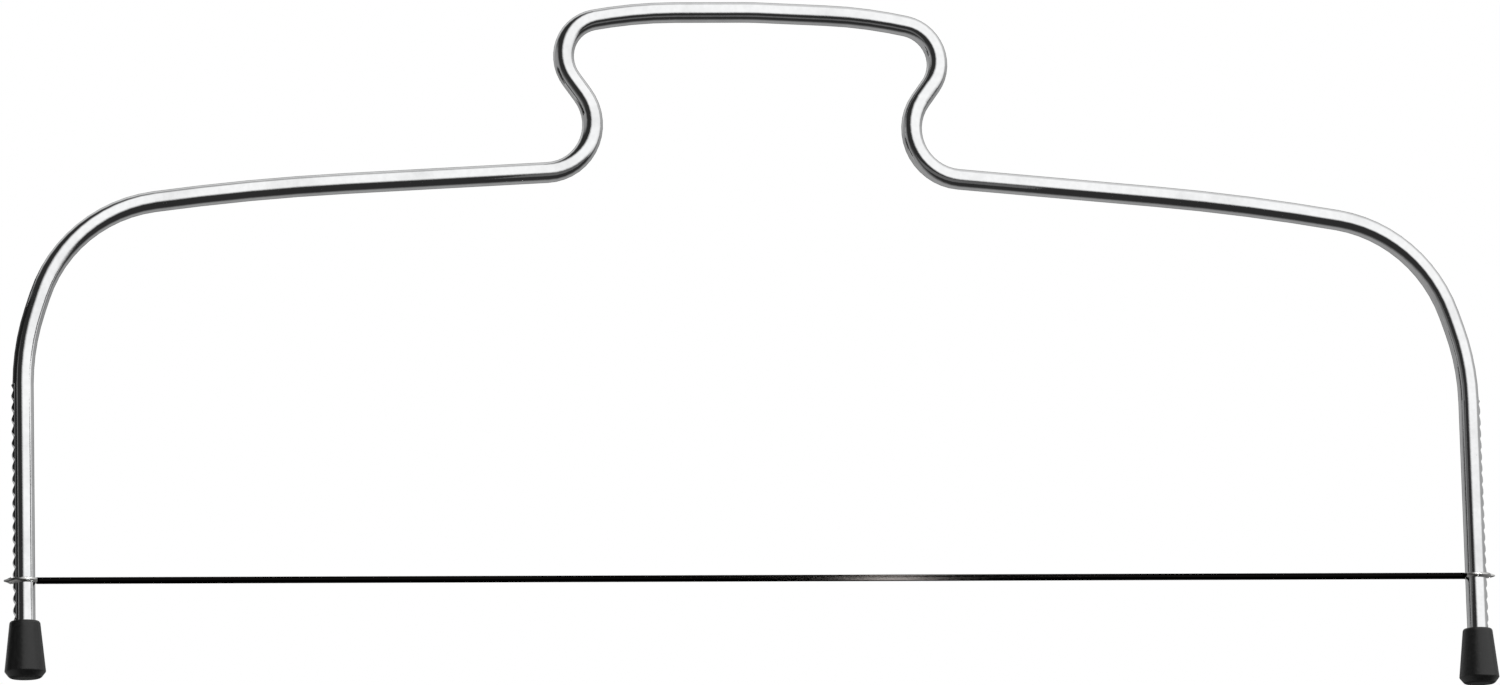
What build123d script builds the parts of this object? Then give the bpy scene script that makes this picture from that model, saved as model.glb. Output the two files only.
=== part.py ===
from build123d import *
import math
import os

# A hand cake leveler: a bent plated rod frame with a raised handle, two push-on rubber feet and a
# stranded cutting wire. The wire's strands part round each leg as an eye, and the outer face of
# each leg has a ladder of pressed notches that sets the height of that eye. The press also raises
# the metal between the notches, so the teeth stand a little proud of the rod.
# All sizes are in millimetres. +Z is up, X runs along the wire and Y is the thin way through.
# The origin is on the table, midway between the two feet.

# Rod
rod_diameter = 4.4
rod_end_chamfer = 0.5
leg_spacing = 312.0

# Rubber feet
foot_height = 12.0
foot_rim_diameter = 8.6
foot_rim_height = 1.4
foot_rim_edge_radius = 0.4
foot_tread_diameter = 6.4
foot_tread_edge_radius = 1.2
foot_top_diameter = 6.3
foot_top_edge_radius = 0.7
foot_floor = 2.9
foot_mouth_chamfer = 0.25

# Notches on the outer faces of the legs, with raised teeth between them
notch_count = 20
notch_pitch = 2.5
notch_depth = 0.55
notch_land = 0.3
notch_valley_radius = 0.36
notch_undercut_share = 0.38
first_notch_gap = 1.1
notch_top_margin = 0.7
tooth_rise = 0.25
tooth_strip_diameter = 3.0
tooth_run_out = 0.4

# Bends of the frame, from the leg up to the middle of the handle
leg_bend_radius = 50.0
leg_lean = 9.5
leg_lean_rise = 28.4
shoulder_radius = 30.3
shoulder_bow_share = 0.685
shoulder_outer_rise = 5.9
shoulder_inner_rise = 5.9
shoulder_bow_radius = 500.0
neck_half_width = 25.4
neck_radius = 10.7
handle_flare = 21.1
handle_rise = 29.2
handle_corner_radius = 8.3
handle_top_half_width = 25.8
handle_corner_rise = 4.4
handle_crown_radius = 100.0
handle_crown_rise = 0.6

# Cutting wire, whose strands part into two bundles round each leg and close again in a cut tail,
# which is wound thicker on the left
wire_diameter = 1.4
wire_end_gap = 0.25
bundle_diameter = 0.85
bundle_inset = 0.05
eye_clearance = 0.08
eye_throat_radius = 0.5
tail_length = 0.9
tail_tip_diameter = 0.3
left_twist_diameter = 1.5
left_twist_shoulder = 0.35
left_twist_end_gap = 0.15
left_eye_notch = 3
left_eye_seat = -0.2
right_eye_notch = 4
right_eye_seat = 0.3

# Small overlap that lets a cutter run past the metal it cuts
cutter_overrun = 1.0

# Worked out from the sizes above
rod_radius = rod_diameter / 2
leg_x = leg_spacing / 2
lowest_notch_height = foot_height + first_notch_gap
top_notch_height = lowest_notch_height + (notch_count - 1) * notch_pitch
left_eye_height = lowest_notch_height + left_eye_notch * notch_pitch + left_eye_seat
right_eye_height = lowest_notch_height + right_eye_notch * notch_pitch + right_eye_seat
bundle_radius = bundle_diameter / 2
bundle_offset = wire_diameter / 2 - bundle_radius - bundle_inset
eye_shift = tooth_rise / 2
eye_radius = rod_radius + eye_shift + eye_clearance + bundle_radius
wire_half_length = math.hypot(leg_spacing, right_eye_height - left_eye_height) / 2
eye_middle = wire_half_length + eye_shift
throat_reach = math.sqrt((eye_radius + eye_throat_radius) ** 2 - (bundle_offset + eye_throat_radius) ** 2)

# A solid that starts at its base and grows along its axis
from_base = (Align.CENTER, Align.CENTER, Align.MIN)


def frame_half_outline():
    """Corner points and bend radii of the right half, from the leg's foot to the handle's middle."""
    lean_angle = math.atan2(leg_lean, leg_lean_rise)
    bend_start = top_notch_height + notch_top_margin
    bend_height = bend_start + leg_bend_radius * math.tan(lean_angle / 2)
    shoulder_x = leg_x - leg_lean
    shoulder_z = bend_height + leg_lean_rise
    bow_x = neck_half_width + shoulder_bow_share * (shoulder_x - neck_half_width)
    bow_z = shoulder_z + shoulder_outer_rise
    neck_z = bow_z + shoulder_inner_rise
    corner_z = neck_z + handle_rise
    top_z = corner_z + handle_corner_rise
    points = [
        (leg_x, foot_floor),
        (leg_x, bend_height),
        (shoulder_x, shoulder_z),
        (bow_x, bow_z),
        (neck_half_width, neck_z),
        (neck_half_width + handle_flare, corner_z),
        (handle_top_half_width, top_z),
    ]
    radii = [
        leg_bend_radius,
        shoulder_radius,
        shoulder_bow_radius,
        neck_radius,
        handle_corner_radius,
        handle_crown_radius,
    ]
    return points, radii, top_z + handle_crown_rise


def bent_rod():
    """The rod follows the outline up one side, over the handle and down the other side."""
    points, radii, crown_z = frame_half_outline()
    right = [Vector(x, 0, z) for x, z in points]
    left = [Vector(-x, 0, z) for x, z in reversed(points)]
    path = FilletPolyline(*right, (0, 0, crown_z), *left, radius=radii + [handle_crown_radius] + radii[::-1])
    start = Plane(origin=path @ 0, z_dir=path % 0)
    rod = sweep(start * Circle(rod_radius), path=path)
    ends = rod.faces().sort_by(Axis.Z)[:2].edges()
    return chamfer(ends, rod_end_chamfer)


def notch_cutter(height):
    """One notch of the right leg: steep just under the tooth, with a long slope below its valley."""
    tooth_span = notch_pitch - notch_land
    upper = notch_undercut_share * tooth_span
    lower = tooth_span - upper
    crest = rod_radius + tooth_rise
    outside = crest + cutter_overrun
    outline = Polyline(
        (crest - notch_depth, 0),
        (crest, upper),
        (outside, upper),
        (outside, -lower),
        (crest, -lower),
        close=True,
    )
    face = make_face(Plane.XZ * outline)
    valley = face.vertices().sort_by(Axis.X)[0]
    face = fillet(valley, notch_valley_radius)
    cutter = extrude(face, rod_radius + cutter_overrun, both=True)
    return Pos(leg_x, 0, height) * cutter


def tooth_strip():
    """The metal that the press raises along the right leg, from which the teeth are cut."""
    strip_radius = tooth_strip_diameter / 2
    top = top_notch_height + notch_pitch / 2
    strip = Cylinder(strip_radius, top - foot_height, align=from_base)
    strip = chamfer(strip.edges().filter_by(GeomType.CIRCLE), tooth_run_out)
    return Pos(leg_x + rod_radius + tooth_rise - strip_radius, 0, foot_height) * strip


def frame():
    cutters = [notch_cutter(lowest_notch_height + i * notch_pitch) for i in range(notch_count)]
    cutters += [mirror(cutter, about=Plane.YZ) for cutter in cutters]
    strip = tooth_strip()
    return bent_rod() + [strip, mirror(strip, about=Plane.YZ)] - cutters


def foot():
    """A tapered rubber cap with a blind socket, drawn as half a section and turned about its axis."""
    tread_radius = foot_tread_diameter / 2
    rim_radius = foot_rim_diameter / 2
    top_radius = foot_top_diameter / 2
    section = Polyline(
        (0, 0),
        (tread_radius, 0),
        (rim_radius, foot_rim_height),
        (top_radius, foot_height),
        (rod_radius + foot_mouth_chamfer, foot_height),
        (rod_radius, foot_height - foot_mouth_chamfer),
        (rod_radius, foot_floor),
        (0, foot_floor),
        close=True,
    )
    face = make_face(Plane.XZ * section)
    tread_corner = face.vertices().group_by(Axis.Z)[0].sort_by(Axis.X)[-1]
    face = fillet(tread_corner, foot_tread_edge_radius)
    rim_corner = face.vertices().sort_by(Axis.X)[-1]
    face = fillet(rim_corner, foot_rim_edge_radius)
    top_corner = face.vertices().group_by(Axis.Z)[-1].sort_by(Axis.X)[-1]
    face = fillet(top_corner, foot_top_edge_radius)
    return revolve(face, axis=Axis.Z)


def eye_bundle():
    """The front bundle's way round the right leg, out of the wire's end and on to the cut tail."""
    ring_share = eye_radius / (eye_radius + eye_throat_radius)
    touch_x = throat_reach * ring_share
    touch_y = -(bundle_offset + eye_throat_radius) * ring_share
    inner = TangentArc(
        (eye_middle - throat_reach, -bundle_offset),
        (eye_middle - touch_x, touch_y),
        tangent=(1, 0),
    )
    ring = TangentArc(inner @ 1, (eye_middle + touch_x, touch_y), tangent=inner % 1)
    outer = TangentArc(ring @ 1, (eye_middle + throat_reach, -bundle_offset), tangent=ring % 1)
    path = Wire([inner, ring, outer])
    start = Plane(origin=path @ 0, z_dir=path % 0)
    end = Plane(origin=path @ 1, z_dir=path % 1)
    point = Cone(bundle_radius, tail_tip_diameter / 2, tail_length, align=from_base)
    return sweep(start * Circle(bundle_radius), path=path) + end * point


def left_twist():
    """The strands wound thick outside the left leg, drawn as half a section and turned about the wire."""
    start = wire_half_length + rod_radius + tooth_rise + eye_clearance
    end = eye_middle + throat_reach + tail_length - left_twist_end_gap
    section = Polyline(
        (-start, 0),
        (-start, bundle_radius),
        (-start - left_twist_shoulder, left_twist_diameter / 2),
        (-end, tail_tip_diameter / 2),
        (-end, 0),
        close=True,
    )
    return revolve(make_face(section), axis=Axis.X)


def cutting_wire():
    """The straight run with both eyes, slanted so that each eye lies at its own notch."""
    run_length = 2 * (wire_half_length - rod_radius - wire_end_gap)
    run = Rot(0, 90, 0) * Cylinder(wire_diameter / 2, run_length)
    bundle = eye_bundle()
    eye = bundle + mirror(bundle, about=Plane.XZ)
    wire = run + eye + mirror(eye, about=Plane.YZ) + left_twist()
    rise = right_eye_height - left_eye_height
    slant = math.degrees(math.asin(rise / (2 * wire_half_length)))
    return Pos(0, 0, (left_eye_height + right_eye_height) / 2) * Rot(0, -slant, 0) * wire


foot_shape = foot()
nodes = {
    "frame": frame(),
    "foot_left": Pos(-leg_x, 0, 0) * foot_shape,
    "foot_right": Pos(leg_x, 0, 0) * foot_shape,
    "cutting_wire": cutting_wire(),
}

os.makedirs("parts", exist_ok=True)
for name, shape in nodes.items():
    export_step(shape, "parts/" + name + ".step")
    print(name, "volume", round(shape.volume, 2))
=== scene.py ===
import math
import bpy
from mathutils import Matrix, Vector


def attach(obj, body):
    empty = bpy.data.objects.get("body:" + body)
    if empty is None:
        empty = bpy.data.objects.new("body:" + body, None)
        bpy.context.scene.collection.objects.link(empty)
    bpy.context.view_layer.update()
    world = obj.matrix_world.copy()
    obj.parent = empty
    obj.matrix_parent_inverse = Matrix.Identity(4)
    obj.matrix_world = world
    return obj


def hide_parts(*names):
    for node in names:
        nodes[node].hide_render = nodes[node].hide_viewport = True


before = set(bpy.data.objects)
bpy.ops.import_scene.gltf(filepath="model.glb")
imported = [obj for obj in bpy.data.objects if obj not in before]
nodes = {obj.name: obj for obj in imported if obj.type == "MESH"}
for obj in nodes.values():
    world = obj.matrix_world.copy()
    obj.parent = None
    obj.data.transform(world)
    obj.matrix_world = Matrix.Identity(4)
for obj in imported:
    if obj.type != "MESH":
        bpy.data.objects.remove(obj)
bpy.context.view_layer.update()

bpy.ops.object.select_all(action="DESELECT")
print("frame loaded:", ", ".join(sorted(nodes)))

view = bpy.context.scene.view_settings
view.view_transform = "Standard"


# Helpers for directions and materials
def direction(azimuthDeg, elevationDeg):
    # azimuth 0 points at the front (-Y) and 90 to the right (+X)
    az = math.radians(azimuthDeg)
    el = math.radians(elevationDeg)
    return Vector((math.cos(el) * math.sin(az), -math.cos(el) * math.cos(az), math.sin(el)))


def addNode(tree, kind, inputs=None, **settings):
    node = tree.nodes.new(kind)
    for name, value in settings.items():
        setattr(node, name, value)
    for name, value in (inputs or {}).items():
        if isinstance(value, bpy.types.NodeSocket):
            tree.links.new(value, node.inputs[name])
        else:
            node.inputs[name].default_value = value
    return node


def newMaterial(name):
    material = bpy.data.materials.new(name)
    material.use_nodes = True
    shader = material.node_tree.nodes["Principled BSDF"]
    return material, material.node_tree, shader


def mathNode(tree, operation, first, second=0.0, clamp=False):
    node = addNode(tree, "ShaderNodeMath", {0: first, 1: second}, operation=operation, use_clamp=clamp)
    return node.outputs[0]


def objectPlace(tree):
    return addNode(tree, "ShaderNodeTexCoord").outputs["Object"]


def objectAxis(tree, place, axis):
    return addNode(tree, "ShaderNodeSeparateXYZ", {0: place}).outputs[axis]


def noise(tree, place, scale, detail):
    node = addNode(tree, "ShaderNodeTexNoise", {"Vector": place, "Scale": scale, "Detail": detail})
    return node.outputs["Fac"]


def softStep(tree, value, low, high, toLow=0.0, toHigh=1.0):
    node = addNode(tree, "ShaderNodeMapRange", {"Value": value, "From Min": low, "From Max": high,
                                                "To Min": toLow, "To Max": toHigh},
                   interpolation_type="SMOOTHSTEP")
    return node.outputs["Result"]


def mixColour(tree, factor, first, second, blend="MIX"):
    node = addNode(tree, "ShaderNodeMix", {"Factor": factor}, data_type="RGBA", blend_type=blend)
    # its colour sockets share their names with the number ones, so they are taken by place
    for socket, value in ((node.inputs[6], first), (node.inputs[7], second)):
        if isinstance(value, bpy.types.NodeSocket):
            tree.links.new(value, socket)
        else:
            socket.default_value = value
    return node.outputs[2]


def grey(level):
    return (level, level, level, 1.0)


def showShader(tree, shader):
    tree.links.new(shader.outputs[0], tree.nodes["Material Output"].inputs["Surface"])


def roughenNormal(tree, shader, height, finish):
    bump = addNode(tree, "ShaderNodeBump", {"Height": height, "Strength": finish["grainStrength"],
                                            "Distance": finish["grainDepth"]})
    tree.links.new(bump.outputs[0], shader.inputs["Normal"])


# Camera, at the photograph's viewing angle: a long lens, a little from the left and from below
cameraSpot = {
    "lookAt": (-0.001697, 0.0, 0.072313),
    "distance": 1.7,
    "yawDeg": 11.715,
    "upDeg": 10.0,
    "rollDeg": 1.357,
    "lensMm": 192.74,
    "sensorMm": 36.0,
    "seesTo": 60.0,
}


def makeCamera():
    data = bpy.data.cameras.new("photoCamera")
    data.lens = cameraSpot["lensMm"]
    data.sensor_width = cameraSpot["sensorMm"]
    data.clip_end = cameraSpot["seesTo"]
    camera = bpy.data.objects.new("photoCamera", data)
    bpy.context.scene.collection.objects.link(camera)
    turn = (Matrix.Rotation(math.radians(-cameraSpot["yawDeg"]), 4, "Z")
            @ Matrix.Rotation(math.radians(90 + cameraSpot["upDeg"]), 4, "X")
            @ Matrix.Rotation(math.radians(-cameraSpot["rollDeg"]), 4, "Z"))
    back = turn.to_3x3() @ Vector((0, 0, 1))
    spot = Vector(cameraSpot["lookAt"]) + back * cameraSpot["distance"]
    camera.matrix_world = Matrix.Translation(spot) @ turn
    bpy.context.scene.camera = camera
    return camera


camera = makeCamera()
print("camera placed")

# Studio: a grey room for the plating to mirror, lighter towards its ceiling, with round patches laid
# over it in this order, each with its middle, how far it reaches and how wide its soft edge is. The
# patches are: behind, dark and low, dark on the left, grey on the far left, bright on the right, and
# the white light, with the soft lamp in its middle
studio = {
    "fillLevel": 0.62,
    "lowWallLevel": 0.34,
    "lowWallTo": -0.1,
    "ceilingLevel": 0.74,
    "ceilingFrom": 0.75,
    "patches": [
        {"azimuthDeg": 168, "elevationDeg": 10, "reachDeg": 32.0, "softDeg": 20, "level": 0.20},
        {"azimuthDeg": 19, "elevationDeg": -26, "reachDeg": 70.7, "softDeg": 34, "level": 0.03},
        {"azimuthDeg": -50, "elevationDeg": 38, "reachDeg": 58.0, "softDeg": 35, "level": 0.03},
        {"azimuthDeg": -100, "elevationDeg": -4, "reachDeg": 27.0, "softDeg": 24, "level": 0.31},
        {"azimuthDeg": 62, "elevationDeg": 8, "reachDeg": 24.0, "softDeg": 20, "level": 0.93},
        {"azimuthDeg": 31, "elevationDeg": 36, "reachDeg": 50.2, "softDeg": 21, "level": 1.12},
    ],
    "lampAzimuthDeg": 31,
    "lampElevationDeg": 36,
    "lampWatts": 11.0,
    "lampSize": 1.1,
    "lampDistance": 1.7,
}


def makeWorld():
    world = bpy.data.worlds.new("studio")
    bpy.context.scene.world = world
    world.use_nodes = True
    world.cycles.sampling_method = "NONE"   # not sampled as a lamp, so each kind of ray meets its own mix
    tree = world.node_tree
    tree.nodes.clear()
    ray = addNode(tree, "ShaderNodeTexCoord").outputs["Generated"]
    height = addNode(tree, "ShaderNodeSeparateXYZ", {0: ray}).outputs["Z"]
    ceilingShare = softStep(tree, height, studio["lowWallTo"], studio["ceilingFrom"])
    room = mixColour(tree, ceilingShare, grey(studio["lowWallLevel"]), grey(studio["ceilingLevel"]))
    for patch in studio["patches"]:
        middle = direction(patch["azimuthDeg"], patch["elevationDeg"])
        near = addNode(tree, "ShaderNodeVectorMath", {0: ray, 1: middle}, operation="DOT_PRODUCT")
        outer = math.cos(math.radians(patch["reachDeg"] + patch["softDeg"] / 2))
        inner = math.cos(math.radians(patch["reachDeg"] - patch["softDeg"] / 2))
        patchShare = softStep(tree, near.outputs["Value"], outer, inner)
        room = mixColour(tree, patchShare, room, grey(patch["level"]))

    # mirrored rays meet the room, the camera sees white, and the rest of the light is an even fill
    path = addNode(tree, "ShaderNodeLightPath")
    fill = addNode(tree, "ShaderNodeBackground", {"Color": grey(1.0), "Strength": studio["fillLevel"]})
    shown = addNode(tree, "ShaderNodeBackground", {"Color": room, "Strength": 1.0})
    white = addNode(tree, "ShaderNodeBackground", {"Color": grey(1.0), "Strength": 1.0})
    whiteRays = mathNode(tree, "ADD", path.outputs["Is Camera Ray"], path.outputs["Is Transmission Ray"],
                         clamp=True)
    lit = addNode(tree, "ShaderNodeMixShader", {0: path.outputs["Is Glossy Ray"], 1: fill.outputs[0],
                                                2: shown.outputs[0]})
    mixed = addNode(tree, "ShaderNodeMixShader", {0: whiteRays, 1: lit.outputs[0], 2: white.outputs[0]})
    addNode(tree, "ShaderNodeOutputWorld", {"Surface": mixed.outputs[0]})


def makeLamp():
    lamp = bpy.data.lights.new("softKey", "AREA")
    lamp.energy = studio["lampWatts"]
    lamp.size = studio["lampSize"]

    holder = bpy.data.objects.new("softKey", lamp)
    bpy.context.scene.collection.objects.link(holder)
    towards = direction(studio["lampAzimuthDeg"], studio["lampElevationDeg"])
    holder.location = towards * studio["lampDistance"]
    holder.rotation_mode = "QUATERNION"
    holder.rotation_quaternion = towards.to_track_quat("Z", "Y")
    holder.visible_glossy = False
    holder.visible_camera = False


# A half hoop of narrow lamps round the wire, for the one glint that the smooth wire shows
wireHoop = {
    "glintAt": 0.0303,
    "glintHeight": 0.022,
    "slantDeg": 0.551,   # the wire rises to the right
    "radius": 1.2,
    "width": 0.016,
    "lampCount": 7,
    "stepDeg": 36,
    "watts": 5.4,
}


def makeWireHoop():
    wireOnly = bpy.data.collections.new("wireOnly")
    wireOnly.objects.link(nodes["cutting_wire"])
    glint = Vector((wireHoop["glintAt"], 0, wireHoop["glintHeight"]))
    slant = Matrix.Rotation(-math.radians(wireHoop["slantDeg"]), 3, "Y")
    sight = slant.inverted() @ (glint - camera.matrix_world.translation).normalized()
    radius = wireHoop["radius"]
    # how far along the wire a mirrored ray runs before it meets the hoop
    aside = sight.x / math.sqrt(1 - sight.x ** 2) * radius
    length = 2 * radius * math.tan(math.radians(wireHoop["stepDeg"] / 2))
    for i in range(wireHoop["lampCount"]):
        steps = i - (wireHoop["lampCount"] - 1) / 2
        angle = math.radians(steps * wireHoop["stepDeg"] - cameraSpot["upDeg"])
        lamp = bpy.data.lights.new("wireLamp", "AREA")
        lamp.shape = "RECTANGLE"
        lamp.size = wireHoop["width"]
        lamp.size_y = length
        lamp.energy = wireHoop["watts"]

        holder = bpy.data.objects.new("wireLamp", lamp)
        bpy.context.scene.collection.objects.link(holder)
        spot = slant @ Vector((aside, -math.cos(angle) * radius, math.sin(angle) * radius))
        turn = slant @ Matrix.Rotation(math.pi / 2 - angle, 3, "X")
        holder.matrix_world = Matrix.Translation(glint + spot) @ turn.to_4x4()
        holder.visible_camera = False
        holder.visible_diffuse = False
        holder.light_linking.receiver_collection = wireOnly


# Cards close to the rod, which the plating mirrors and nothing else sees: dark ones beside and
# behind the left leg, a pale one that lights its lowest notches, and a dim one under the handle that
# draws a thin stripe along it
cards = [
    {"name": "sideCard", "from": (-0.206, -0.010), "to": (-0.206, 0.038), "lowZ": 0.0, "highZ": 0.11,
     "level": 0.014},
    {"name": "backCard", "from": (-0.206, 0.038), "to": (-0.154, 0.070), "lowZ": 0.058, "highZ": 0.12,
     "level": 0.06},
    {"name": "paleCard", "from": (-0.206, 0.038), "to": (-0.154, 0.070), "lowZ": -0.01, "highZ": 0.056,
     "level": 0.42},
    {"name": "handleCard", "from": (-0.035, -0.063), "to": (0.075, -0.063), "lowZ": 0.036, "highZ": 0.082,
     "level": 0.13},
]


def makeCard(card):
    start = Vector(card["from"])
    end = Vector(card["to"])
    middle = (start + end) / 2
    run = end - start
    height = card["highZ"] - card["lowZ"]
    bpy.ops.mesh.primitive_plane_add(size=1, location=(middle.x, middle.y, card["lowZ"] + height / 2),
                                     rotation=(math.pi / 2, 0, math.atan2(run.y, run.x)))
    plane = bpy.context.object
    plane.name = card["name"]
    plane.scale = (run.length, height, 1)

    material, tree, shader = newMaterial(card["name"])
    tree.nodes.remove(shader)
    showShader(tree, addNode(tree, "ShaderNodeEmission", {"Color": grey(1.0), "Strength": card["level"]}))
    plane.data.materials.append(material)
    plane.visible_camera = False
    plane.visible_diffuse = False
    plane.visible_shadow = False


makeWorld()
makeLamp()
makeWireHoop()
for card in cards:
    makeCard(card)
print("studio lit")

# Floor: pale, and clear from below, because the photograph's camera looks up from under its level
floorLook = {
    "size": 24.0,
    "colour": 0.88,
    "roughness": 0.9,
    "whiteFrom": 0.9,
    "whiteTo": 2.4,
}


def makeFloor():
    bpy.ops.mesh.primitive_plane_add(size=floorLook["size"], location=(0, 0, 0))
    floor = bpy.context.object
    floor.name = "floor"

    material, tree, shader = newMaterial("paleFloor")
    shader.inputs["Base Color"].default_value = grey(floorLook["colour"])
    shader.inputs["Roughness"].default_value = floorLook["roughness"]
    shader.inputs["Specular IOR Level"].default_value = 0.0
    away = addNode(tree, "ShaderNodeVectorMath", {0: objectPlace(tree)}, operation="LENGTH")
    farShare = softStep(tree, away.outputs["Value"], floorLook["whiteFrom"], floorLook["whiteTo"])
    path = addNode(tree, "ShaderNodeLightPath")
    seen = mathNode(tree, "ADD", path.outputs["Is Camera Ray"], path.outputs["Is Glossy Ray"])
    seen = mathNode(tree, "ADD", seen, path.outputs["Is Transmission Ray"], clamp=True)
    white = addNode(tree, "ShaderNodeEmission", {"Color": grey(1.0), "Strength": 1.0})
    clear = addNode(tree, "ShaderNodeBsdfTransparent")
    share = mathNode(tree, "MULTIPLY", farShare, seen)
    top = addNode(tree, "ShaderNodeMixShader", {0: share, 1: shader.outputs[0], 2: white.outputs[0]})
    under = addNode(tree, "ShaderNodeNewGeometry").outputs["Backfacing"]
    both = addNode(tree, "ShaderNodeMixShader", {0: under, 1: top.outputs[0], 2: clear.outputs[0]})
    showShader(tree, both)

    floor.data.materials.append(material)
    floor.visible_glossy = False   # the rod mirrors the room and not the floor


makeFloor()
print("floor laid")

# Rod: bright plating with faint specks and handling marks
rodFinish = {
    "colour": (0.84, 0.845, 0.85, 1.0),
    "dullColour": (0.74, 0.745, 0.75, 1.0),
    "smoothRoughness": 0.045,
    "dullRoughness": 0.11,
    "blotchScale": 90.0,
    "blotchDetail": 4.0,
    "blotchEdges": (0.42, 0.72),
    "roughEdges": (0.35, 0.75),
    "mottleScale": 900.0,
    "mottleDetail": 2.0,
    "mottleEdges": (0.35, 0.65),
    "mottleDepth": 0.955,
    "speckScale": 620.0,
    "speckEdges": (0.10, 0.05),
    "speckLevel": 0.5,
    "speckGroupScale": 207.0,
    "speckGroupDetail": 1.0,
    "speckGroupEdges": (0.60, 0.70),
    "grainScale": 2400.0,
    "grainDetail": 3.0,
    "grainStrength": 0.012,
    "grainDepth": 0.001,
}


def speckShare(tree, place):
    cells = addNode(tree, "ShaderNodeTexVoronoi", {"Vector": place, "Scale": rodFinish["speckScale"]})
    speck = softStep(tree, cells.outputs["Distance"], *rodFinish["speckEdges"])
    group = noise(tree, place, rodFinish["speckGroupScale"], rodFinish["speckGroupDetail"])
    return mathNode(tree, "MULTIPLY", speck, softStep(tree, group, *rodFinish["speckGroupEdges"]))


def plateMaterial():
    material, tree, shader = newMaterial("brightPlate")
    place = objectPlace(tree)
    blotch = noise(tree, place, rodFinish["blotchScale"], rodFinish["blotchDetail"])
    blotchShare = softStep(tree, blotch, *rodFinish["blotchEdges"])
    colour = mixColour(tree, blotchShare, rodFinish["colour"], rodFinish["dullColour"])
    mottle = noise(tree, place, rodFinish["mottleScale"], rodFinish["mottleDetail"])
    mottleShare = softStep(tree, mottle, *rodFinish["mottleEdges"])
    deeper = mixColour(tree, 1.0, colour, grey(rodFinish["mottleDepth"]), "MULTIPLY")
    colour = mixColour(tree, mottleShare, colour, deeper)
    colour = mixColour(tree, speckShare(tree, place), colour, grey(rodFinish["speckLevel"]))
    tree.links.new(colour, shader.inputs["Base Color"])

    rough = softStep(tree, blotch, *rodFinish["roughEdges"], rodFinish["smoothRoughness"],
                     rodFinish["dullRoughness"])
    tree.links.new(rough, shader.inputs["Roughness"])
    shader.inputs["Metallic"].default_value = 1.0
    grain = noise(tree, place, rodFinish["grainScale"], rodFinish["grainDetail"])
    roughenNormal(tree, shader, grain, rodFinish)
    return material


# Wire: smooth and near black between the legs, bare bright strands where it parts round a leg
wireFinish = {
    "darkColour": (0.0042, 0.0039, 0.0037, 1.0),
    "bareColour": (0.52, 0.52, 0.51, 1.0),
    "roughness": 0.07,
    "bareRoughness": 0.3,
    "bareFrom": 0.15356,
}


def wireMaterial():
    material, tree, dark = newMaterial("darkWire")
    dark.inputs["Base Color"].default_value = wireFinish["darkColour"]
    dark.inputs["Metallic"].default_value = 1.0
    dark.inputs["Roughness"].default_value = wireFinish["roughness"]
    dark.inputs["Specular Tint"].default_value = grey(0.0)   # the edges stay black
    bare = addNode(tree, "ShaderNodeBsdfPrincipled", {"Base Color": wireFinish["bareColour"],
                                                      "Metallic": 1.0,
                                                      "Roughness": wireFinish["bareRoughness"]})
    outward = mathNode(tree, "ABSOLUTE", objectAxis(tree, objectPlace(tree), "X"))
    bareShare = mathNode(tree, "GREATER_THAN", outward, wireFinish["bareFrom"])
    both = addNode(tree, "ShaderNodeMixShader", {0: bareShare, 1: dark.outputs[0], 2: bare.outputs[0]})
    showShader(tree, both)
    return material


# Feet: satin black rubber, duller and scuffed underneath
footFinish = {
    "colour": (0.0078, 0.0080, 0.0080, 1.0),
    "wornColour": (0.0120, 0.0124, 0.0124, 1.0),
    "wornEdges": (0.5, 0.8),
    "roughness": (0.32, 0.42),
    "roughEdges": (0.3, 0.7),
    "scuffedRoughness": 0.8,
    "scuffedEdges": (0.0004, 0.0002),
    "gloss": 0.5,
    "grainScale": 1500.0,
    "grainDetail": 4.0,
    "grainStrength": 0.05,
    "grainDepth": 0.001,
}


def rubberMaterial():
    material, tree, shader = newMaterial("blackRubber")
    place = objectPlace(tree)
    grain = noise(tree, place, footFinish["grainScale"], footFinish["grainDetail"])
    wornShare = softStep(tree, grain, *footFinish["wornEdges"])
    colour = mixColour(tree, wornShare, footFinish["colour"], footFinish["wornColour"])
    tree.links.new(colour, shader.inputs["Base Color"])

    satin = softStep(tree, grain, *footFinish["roughEdges"], *footFinish["roughness"])
    scuffed = softStep(tree, objectAxis(tree, place, "Z"), *footFinish["scuffedEdges"])
    rough = addNode(tree, "ShaderNodeMix", {"Factor": scuffed, "A": satin,
                                            "B": footFinish["scuffedRoughness"]})
    tree.links.new(rough.outputs[0], shader.inputs["Roughness"])
    shader.inputs["Specular IOR Level"].default_value = footFinish["gloss"]
    roughenNormal(tree, shader, grain, footFinish)
    return material


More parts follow.
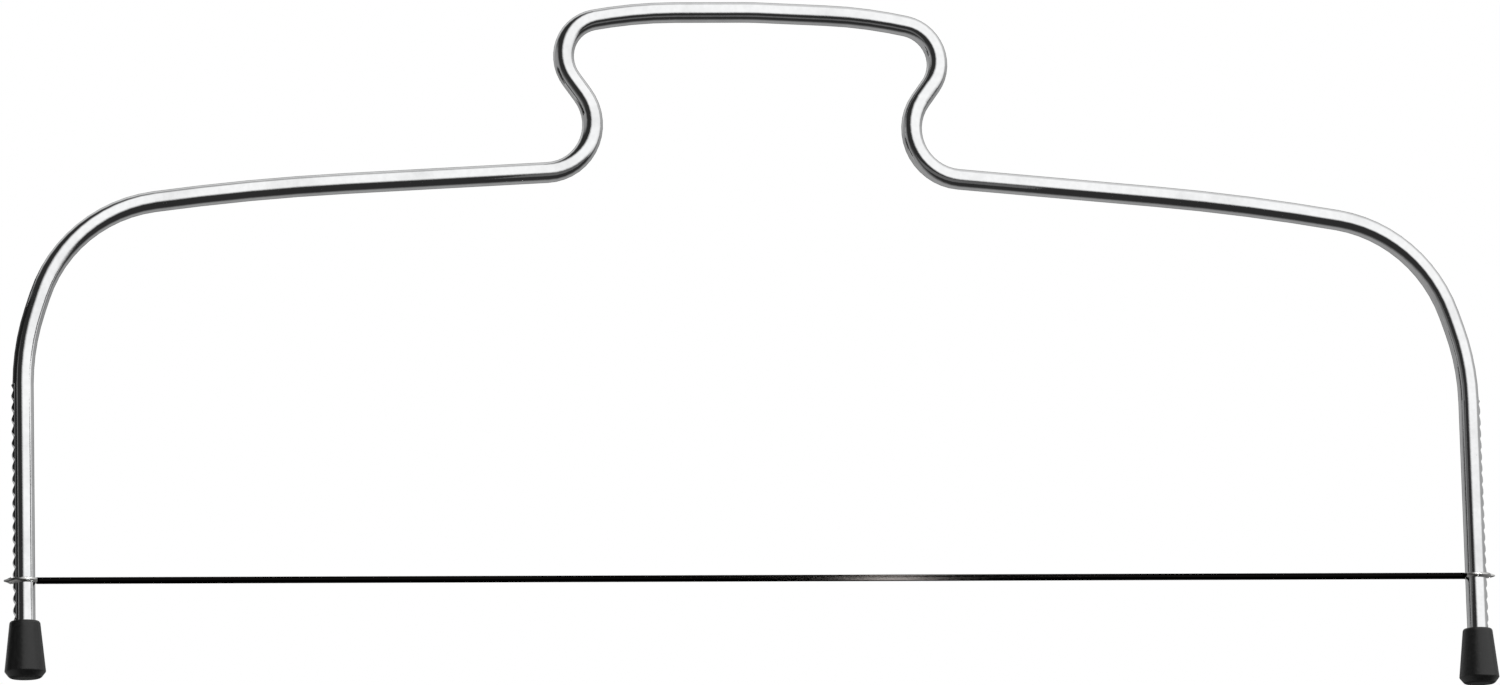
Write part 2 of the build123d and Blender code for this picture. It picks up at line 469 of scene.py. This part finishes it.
# Where one bend of the CAD rod runs straight into the next, its skin goes a little too far and comes
# back. In this copy of the frame the first ring of the later bend moves up to the last ring of the
# one before, on both sides, and the fold between them is gone. Places are X and Z on the right side
rodSeams = {
    "rings": [
        {"from": (0.1287344, 0.1005893), "to": (0.1282551, 0.1006634)},   # shoulder into bow
        {"from": (0.0349323, 0.1413003), "to": (0.0340341, 0.1414913)},   # handle corner into crown
    ],
    "ringReach": 0.00221,
    "flatWithin": 0.00001,
    "mergeUnder": 0.000001,
}


def moveRing(mesh, start, end):
    run = end - start
    along = run.normalized()
    moved = 0
    for vertex in mesh.vertices:
        offset = vertex.co - start
        if offset.length < rodSeams["ringReach"] and abs(offset.dot(along)) < rodSeams["flatWithin"]:
            vertex.co += run
            moved += 1
    return moved


def makePlatedFrame():
    mesh = nodes["frame"].data.copy()
    rod = bpy.data.objects.new("platedFrame", mesh)
    bpy.context.scene.collection.objects.link(rod)
    bpy.ops.object.select_all(action="DESELECT")
    rod.select_set(True)
    bpy.context.view_layer.objects.active = rod

    kept = mesh.attributes.new("keptNormal", "FLOAT_VECTOR", "CORNER")   # the CAD's smooth shading
    for corner, normal in zip(kept.data, mesh.corner_normals):
        corner.vector = normal.vector
    bpy.ops.mesh.customdata_custom_splitnormals_clear()

    moved = 0
    for ring in rodSeams["rings"]:
        for side in (1, -1):
            start = Vector((side * ring["from"][0], 0, ring["from"][1]))
            end = Vector((side * ring["to"][0], 0, ring["to"][1]))
            moved += moveRing(mesh, start, end)
    bpy.ops.object.mode_set(mode="EDIT")
    bpy.ops.mesh.select_all(action="SELECT")
    bpy.ops.mesh.remove_doubles(threshold=rodSeams["mergeUnder"])
    bpy.ops.object.mode_set(mode="OBJECT")

    kept = mesh.attributes["keptNormal"]
    mesh.normals_split_custom_set([corner.vector.copy() for corner in kept.data])
    mesh.attributes.remove(mesh.attributes["keptNormal"])
    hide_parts("frame")
    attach(rod, "frame")
    print("rod seams mended:", moved, "points moved")
    return rod


def dress(piece, material):
    piece.data.materials.clear()
    piece.data.materials.append(material)


dress(makePlatedFrame(), plateMaterial())
dress(nodes["cutting_wire"], wireMaterial())
rubber = rubberMaterial()
dress(nodes["foot_left"], rubber)
dress(nodes["foot_right"], rubber)
print("finishes on")
